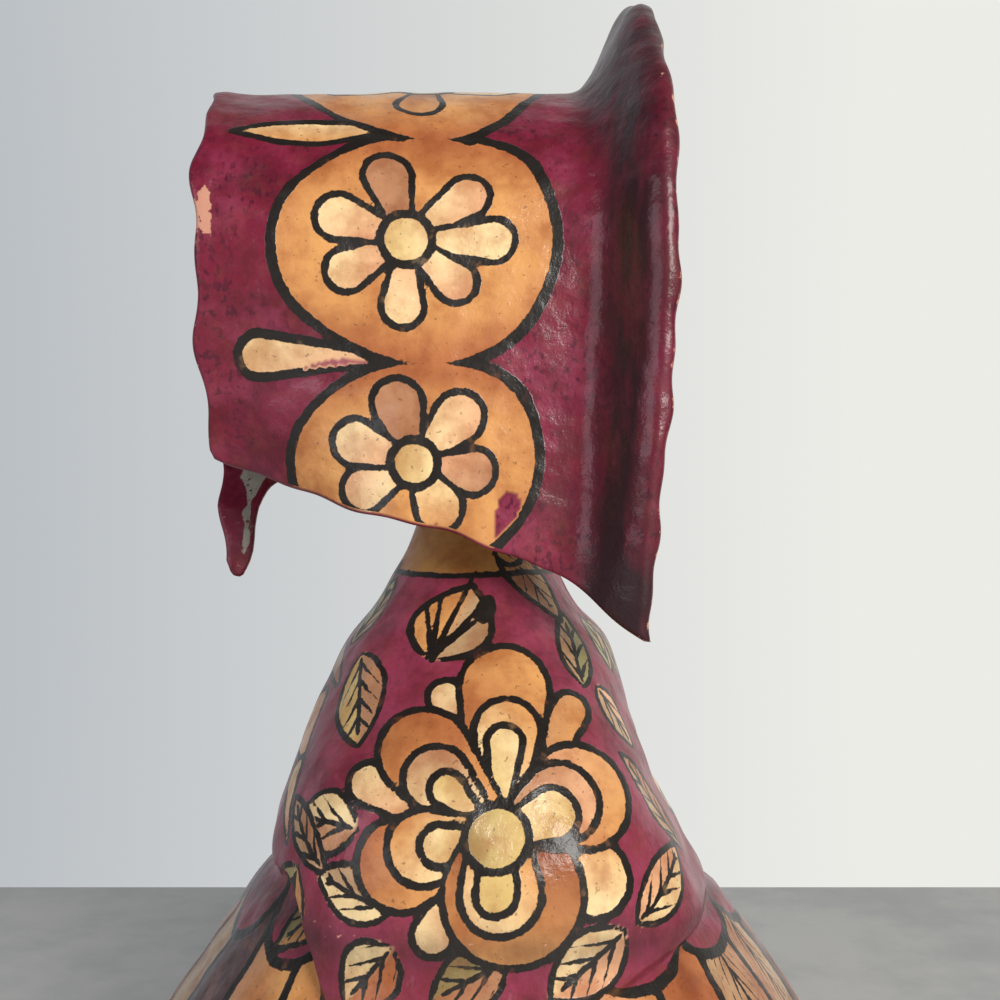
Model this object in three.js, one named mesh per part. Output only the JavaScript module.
// A papier-mache lady in a long cape, with a tall hood made of one bent sheet.
// Millimetres, +Z up. The origin is the middle of the base, and she looks along +X.
// The body, neck and head are one moulded form, and the hood is a sheet glued on the head.
import * as THREE from "three";

// Driving dimensions
const HEIGHT = 400; // floor to the peak of the hood
const CROWN = 365; // top of the head
const BASE_RADIUS = 134;
const HEM = 106; // mean height of the crease under the cape
const HEM_TUCK = 10; // height over which the cape turns in to that crease
const BASE_EDGE = 3; // rounding at the foot of the skirt
const SHEET = 3; // thickness of the hood's sheet
const HOOD_RADIUS = 57; // outside radius of the arch over the head
const HOOD_CREST = 369; // outside height of the arch
const HOOD_BACK = -87; // rear edge of the hood
const HOOD_FRONT = 56; // front edge of the hood
const FLARE_START = 27; // where the hood begins to flare towards its front edge
const FLARE_END = 52; // where the flare is full
const REAR_CURL = 23; // how far the hood turns in at the nape
const TAIL_REACH = 11; // how far the left panel's tail stands out behind
const CHIN_RETREAT = 7; // how far the front edge falls back towards its lower tips
const PEAK_RETREAT = 3; // how far it falls back at the peak
const COLUMNS = 52; // facets round the figure
const CROWDING = 0.3; // how much closer they lie in front than behind

const COLOURS = { figure: 0xb86a4a, hood: 0x6e2a3c };

// Smooth curve through [position, value] pairs, flat beyond both ends.
function through(points, at) {
  const last = points.length - 1;
  if (at <= points[0][0]) return points[0][1];
  if (at >= points[last][0]) return points[last][1];
  const i = points.findIndex((p) => p[0] > at) - 1;
  const slope = (a, b) => (points[b][1] - points[a][1]) / (points[b][0] - points[a][0]);
  const tangent = (k) => {
    if (k === 0) return slope(0, 1);
    if (k === last) return slope(last - 1, last);
    const before = slope(k - 1, k);
    const after = slope(k, k + 1);
    return before * after <= 0 ? 0 : (2 * before * after) / (before + after);
  };
  const width = points[i + 1][0] - points[i][0];
  const t = (at - points[i][0]) / width;
  const cubic = [2 * t ** 3 - 3 * t ** 2 + 1, t ** 3 - 2 * t ** 2 + t, 3 * t ** 2 - 2 * t ** 3, t ** 3 - t ** 2];
  return (
    cubic[0] * points[i][1] +
    cubic[1] * width * tangent(i) +
    cubic[2] * points[i + 1][1] +
    cubic[3] * width * tangent(i + 1)
  );
}

const bell = (x, width) => Math.exp(-((x / width) ** 2));
const ramp = THREE.MathUtils.smoothstep;
const mix = THREE.MathUtils.lerp;

// Outline of the skirt: [height, radius]
const SKIRT = [[0, BASE_RADIUS], [35, 121], [70, 101.5], [89, 88], [107, 74.5], [125, 62]];
// Outlines of cape, neck and head: [height, distance from the axis]
const FRONT = [
  [98, 71.5], [106, 72.5], [121, 66], [143, 55], [158, 49.5], [175, 45], [184, 41], [195, 31.5],
  [205, 25.5], [215, 21], [228, 18], [242, 16.5], [256, 16], [265, 19], [270, 27], [276, 32],
  [284, 32], [292, 32.5], [305, 34.5], [320, 34.5], [330, 36.5], [344, 35], [355, 28], [362, 17.5], [CROWN, 7],
];
const BACK = [
  [98, 66], [108, 68.5], [120, 68.5], [130, 67], [143, 64], [151, 61.5], [168, 54.5], [184, 46.5], [195, 38.5],
  [205, 32], [215, 26.5], [228, 21], [242, 17.5], [256, 17], [268, 20], [282, 28],
  [300, 36], [318, 39], [335, 38], [348, 32], [357, 24], [362, 17], [CROWN, 7],
];
const SIDE = [
  [84, 93.5], [92, 90], [100, 88.5], [108, 88.5], [120, 89], [135, 86], [150, 79.5], [165, 69], [180, 56], [195, 42],
  [205, 33.5], [215, 26.5], [228, 20.5], [242, 17], [256, 16.5], [265, 18], [271, 22], [279, 26.5],
  [292, 30], [310, 32], [326, 32.5], [340, 31], [352, 25], [361, 15], [CROWN, 5.5],
];
// How square the sections are: 2 is an ellipse
const SQUARENESS = [[100, 3], [130, 3], [165, 2.4], [200, 2.1], [250, 2]];
// Height of the crease above its mean, by degrees round from the front
const HEM_RISE = [[0, 3], [45, -3], [88, -18], [119, -15], [133, 15], [160, 11], [180, 11]];
const HEM_REACH = 30; // how far above and below it the rise and fall is felt

const NOSE = { tip: 298, bridge: 322, proud: 8.5, halfWidth: 4.8 };
const EYE_SOCKET = { height: 318, side: 12.8, depth: 2.6, width: 7.5 };
const MOUTH = { height: 288, proud: 1.8, halfWidth: 8 };

// Heights of the rings of the figure's mesh, closer where the form turns
function ringHeights() {
  const runs = [
    [0, 0, 1], [BASE_EDGE, 88, 6], [HEM - HEM_TUCK, HEM, 4], [111, 212, 12], [220, 266, 5],
    [269, 300, 10], [304, 332, 8], [337, 362, 6], [CROWN, CROWN, 1],
  ];
  return runs.flatMap(([from, to, count]) =>
    Array.from({ length: count }, (_, i) => (count === 1 ? from : from + ((to - from) * i) / (count - 1)))
  );
}

// Radius of the figure at a height, in a direction round from the front
function figureRadius(height, turn, hemSide) {
  const towardsFront = Math.cos(turn) >= 0;
  const along = through(towardsFront ? FRONT : BACK, height);
  const across = through(SIDE, height);
  const power = through(SQUARENESS, height);
  const share = Math.abs(Math.cos(turn) / along) ** power + Math.abs(Math.sin(turn) / across) ** power;
  const cape = share ** (-1 / power);
  return mix(through(SKIRT, height), cape, hemSide);
}

// Nose, mouth and eye sockets: how far the face stands out beyond its smooth form
function faceRelief(height, across) {
  const along = (NOSE.bridge - height) / (NOSE.bridge - NOSE.tip);
  const length = height > NOSE.tip ? Math.max(0, along) ** 1.3 : bell(NOSE.tip - height, 2.6);
  const width = NOSE.halfWidth * (0.6 + 0.4 * Math.max(0, Math.min(1, along)));
  const nose = NOSE.proud * length * bell(across, width);
  const socket = bell(height - EYE_SOCKET.height, 5) * bell(Math.abs(across) - EYE_SOCKET.side, EYE_SOCKET.width);
  const lips = MOUTH.proud * bell(height - MOUTH.height, 4) * bell(across, MOUTH.halfWidth);
  return nose + lips - EYE_SOCKET.depth * socket;
}

function figure() {
  const rings = ringHeights();
  const profile = [new THREE.Vector2(0, 0)];
  rings.forEach((height) => profile.push(new THREE.Vector2(1, height)));
  profile.push(new THREE.Vector2(0, CROWN));
  const form = new THREE.LatheGeometry(profile, COLUMNS);
  const spot = form.getAttribute("position");
  for (let i = 0; i < spot.count; i++) {
    const ring = i % profile.length;
    if (ring === 0 || ring === profile.length - 1) {
      spot.setXYZ(i, 0, 0, ring === 0 ? 0 : CROWN);
      continue;
    }
    const even = (2 * Math.PI * Math.floor(i / profile.length)) / COLUMNS;
    const turn = even - CROWDING * Math.sin(even);
    const degrees = THREE.MathUtils.radToDeg(Math.min(turn, 2 * Math.PI - turn));
    const level = profile[ring].y;
    const height = level + through(HEM_RISE, degrees) * bell(level - HEM, HEM_REACH) * Math.min(1, level / HEM_REACH);
    const hemSide = ramp(level, HEM - HEM_TUCK, HEM);
    let radius = figureRadius(height, turn, hemSide);
    if (ring === 1) radius -= BASE_EDGE;
    const across = radius * Math.sin(turn);
    if (Math.cos(turn) > 0) radius += faceRelief(height, across);
    spot.setXYZ(i, radius * Math.cos(turn), radius * Math.sin(turn), height);
  }
  return form;
}

// Lower edges of the hood: [distance along it, height], on her right and on her left
const RIGHT_EDGE = [
  [HOOD_BACK, 246], [-56, 234], [-20, 224.5], [6, 217], [24, 211], [36, 203.5], [HOOD_FRONT, 189.5],
];
const LEFT_EDGE = [
  [HOOD_BACK, 209], [-85, 206], [-82.5, 205.5], [-80, 210], [-76, 224], [-71, 237], [-64, 241],
  [-45, 234], [-20, 226], [6, 219], [24, 213], [36, 206], [HOOD_FRONT, 194],
];
// Outward flare of the front edge, by distance round the arch from its crest
const FLARE = [[0, HEIGHT - HOOD_CREST], [14, 27], [38, 21], [75, 20], [130, 19], [190, 13], [215, 8]];
const ARCH = (Math.PI / 2) * HOOD_RADIUS; // distance from the crest to where the sides hang straight

// Point of the hood, at a distance along it and a distance round it, less than 0 on her right
function hoodPoint(along, round, inward) {
  const travel = Math.abs(round);
  const turn = Math.min(travel / HOOD_RADIUS, Math.PI / 2);
  const drop = Math.max(0, travel - ARCH);
  const rear = 1 - ramp(along, HOOD_BACK, -20);
  const curl = REAR_CURL * rear * Math.min(drop / 67, 1.25) ** 1.5;
  const flare = through(FLARE, travel) * ramp(along, FLARE_START, FLARE_END) ** 1.6;
  const reach = HOOD_RADIUS + flare - inward;
  const tail = round > 0 ? ramp(travel, 60, 150) * (1 - 0.5 * ramp(travel, 155, 196)) : 0;
  const retreat = CHIN_RETREAT * ramp(travel, 100, 215) + PEAK_RETREAT * (1 - ramp(travel, 0, 70));
  return new THREE.Vector3(
    along - TAIL_REACH * tail * rear - retreat * ramp(along, -20, HOOD_FRONT),
    Math.sign(round) * (reach * Math.sin(turn) - curl),
    HOOD_CREST - HOOD_RADIUS + reach * Math.cos(turn) - drop
  );
}

// Distance round the arch from its crest down to the lower edge
function roundTo(edge, along) {
  return ARCH + (HOOD_CREST - HOOD_RADIUS - through(edge, along));
}

function hood() {
  const slab = new THREE.BoxGeometry(1, 1, 1, 24, 34, 1);
  const spot = slab.getAttribute("position");
  for (let i = 0; i < spot.count; i++) {
    const share = spot.getX(i) + 0.5;
    const along = mix(HOOD_BACK, HOOD_FRONT, share - 0.12 * Math.sin(2 * Math.PI * share));
    const round = mix(-roundTo(RIGHT_EDGE, along), roundTo(LEFT_EDGE, along), spot.getY(i) + 0.5);
    const inward = spot.getZ(i) > 0 ? 0 : SHEET;
    const point = hoodPoint(along, round, inward);
    spot.setXYZ(i, point.x, point.y, point.z);
  }
  return slab;
}

function piece(name, geometry, colour, roughness) {
  const material = new THREE.MeshStandardMaterial({ color: colour, roughness, metalness: 0 });
  const mesh = new THREE.Mesh(geometry, material);
  mesh.name = name;
  return mesh;
}

const lady = new THREE.Group();
lady.add(piece("figure", figure(), COLOURS.figure, 0.35));
lady.add(piece("hood", hood(), COLOURS.hood, 0.35));

export default lady;
